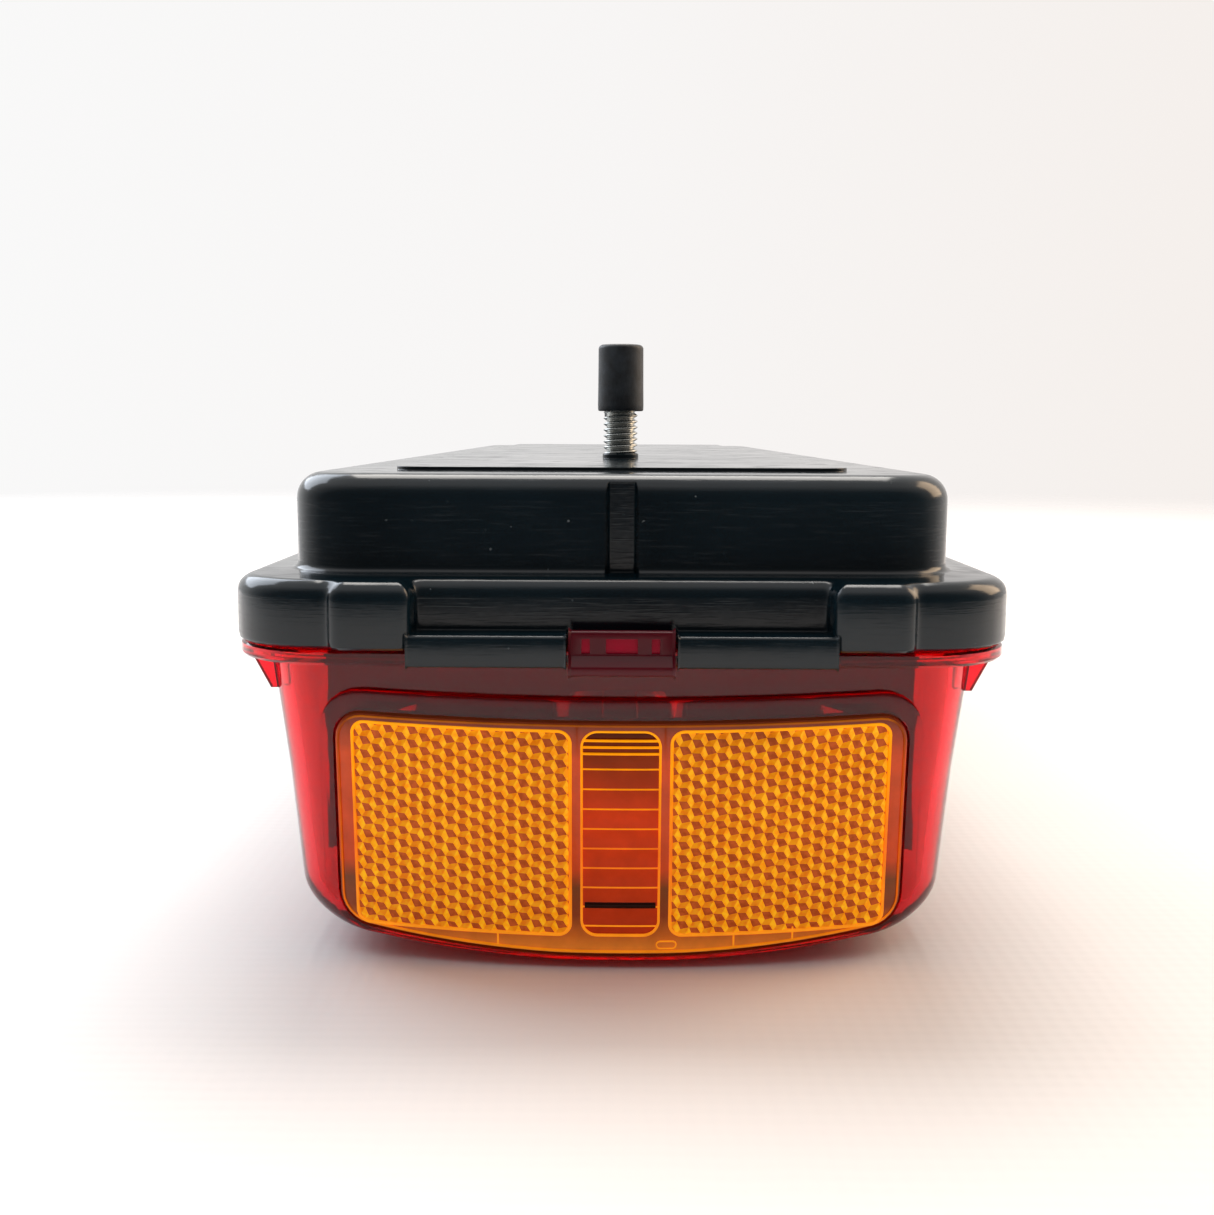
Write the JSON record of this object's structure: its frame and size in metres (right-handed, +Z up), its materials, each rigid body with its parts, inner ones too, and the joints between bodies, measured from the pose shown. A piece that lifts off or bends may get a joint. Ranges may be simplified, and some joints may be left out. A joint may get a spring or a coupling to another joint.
{
  "type": "rear combination lamp",
  "caption": "Rectangular vehicle rear lamp with a black back housing, red tub lens, amber side reflector, bayonet bulbs and capped threaded mounting studs.",
  "frame": {"origin": "on the resting plane, under the middle of the lamp, which lies on its lens with its studs up", "axes": "X across the lamp, Y along it with the side reflector at the -Y end, Z up out of the mounting back"},
  "size_m": [0.0978, 0.3186, 0.0829],
  "materials": {
    "housing_black": "moulded black, semi-gloss, finely scuffed",
    "carrier_black": "moulded, matte",
    "lens_red": "clear-moulded red acrylic",
    "lens_amber": "clear-moulded amber acrylic",
    "lens_clear": "clear-moulded acrylic",
    "reflector_amber": "amber acrylic with reflex prisms on the back",
    "rubber_black": "moulded, matte",
    "zinc_steel": "zinc plated, rolled thread",
    "plated_brass": "nickel-plated brass",
    "bulb_clear": "blown, clear",
    "bulb_amber": "blown, amber coated",
    "phenolic": "punched paper laminate",
    "spring_steel": "bright drawn wire",
    "strip_brass": "rolled strip"
  },
  "bodies": {
    "lens": {"lens": "lens_red", "turn_lens": "lens_amber", "reverse_lens": "lens_clear", "side_reflector": "reflector_amber"},
    "housing": {"housing": "housing_black", "bulb_carrier": "carrier_black", "lens_seal": "rubber_black", "cable_grommet": "rubber_black", "ground_strip": "strip_brass", "holder_tail": "plated_brass", "contact_disc_tail": "phenolic", "contact_spring_tail": "spring_steel", "feed_strip_tail": "strip_brass", "holder_turn": "plated_brass", "contact_disc_turn": "phenolic", "contact_spring_turn": "spring_steel", "feed_strip_turn": "strip_brass", "holder_stop": "plated_brass", "contact_disc_stop": "phenolic", "contact_spring_stop": "spring_steel", "feed_strip_stop": "strip_brass", "holder_reverse": "plated_brass", "contact_disc_reverse": "phenolic", "contact_spring_reverse": "spring_steel", "feed_strip_reverse": "strip_brass", "carrier_screw_1": "zinc_steel", "carrier_screw_2": "zinc_steel", "carrier_screw_3": "zinc_steel", "carrier_screw_4": "zinc_steel", "stud_1": "zinc_steel", "stud_seal_1": "rubber_black", "stud_2": "zinc_steel", "stud_seal_2": "rubber_black"},
    "bulb_tail": {"bulb_base_tail": "plated_brass", "bulb_glass_tail": "bulb_clear"},
    "bulb_turn": {"bulb_base_turn": "plated_brass", "bulb_glass_turn": "bulb_amber"},
    "bulb_stop": {"bulb_base_stop": "plated_brass", "bulb_glass_stop": "bulb_clear"},
    "bulb_reverse": {"bulb_base_reverse": "plated_brass", "bulb_glass_reverse": "bulb_clear"},
    "stud_cap_1": {"stud_cap_1": "rubber_black"},
    "stud_cap_2": {"stud_cap_2": "rubber_black"}
  },
  "joints": [
    {"name": "housing_lift", "type": "slide", "parent": "lens", "child": "housing", "axis": [0, 0, 1], "range_m": [0, 0.08]},
    {"name": "tail_bulb_turn", "type": "hinge", "parent": "housing", "child": "bulb_tail", "pos_m": [0, -0.111, 0.045], "axis": [0, 0, 1], "range_deg": [0, 22]},
    {"name": "turn_bulb_turn", "type": "hinge", "parent": "housing", "child": "bulb_turn", "pos_m": [0, -0.037, 0.045], "axis": [0, 0, 1], "range_deg": [0, 22]},
    {"name": "stop_bulb_turn", "type": "hinge", "parent": "housing", "child": "bulb_stop", "pos_m": [0, 0.037, 0.045], "axis": [0, 0, 1], "range_deg": [0, 22]},
    {"name": "reverse_bulb_turn", "type": "hinge", "parent": "housing", "child": "bulb_reverse", "pos_m": [0, 0.111, 0.045], "axis": [0, 0, 1], "range_deg": [0, 22]},
    {"name": "stud_cap_1_pull", "type": "slide", "parent": "housing", "child": "stud_cap_1", "axis": [0, 0, 1], "range_m": [0, 0.014]},
    {"name": "stud_cap_2_pull", "type": "slide", "parent": "housing", "child": "stud_cap_2", "axis": [0, 0, 1], "range_m": [0, 0.014]}
  ]
}
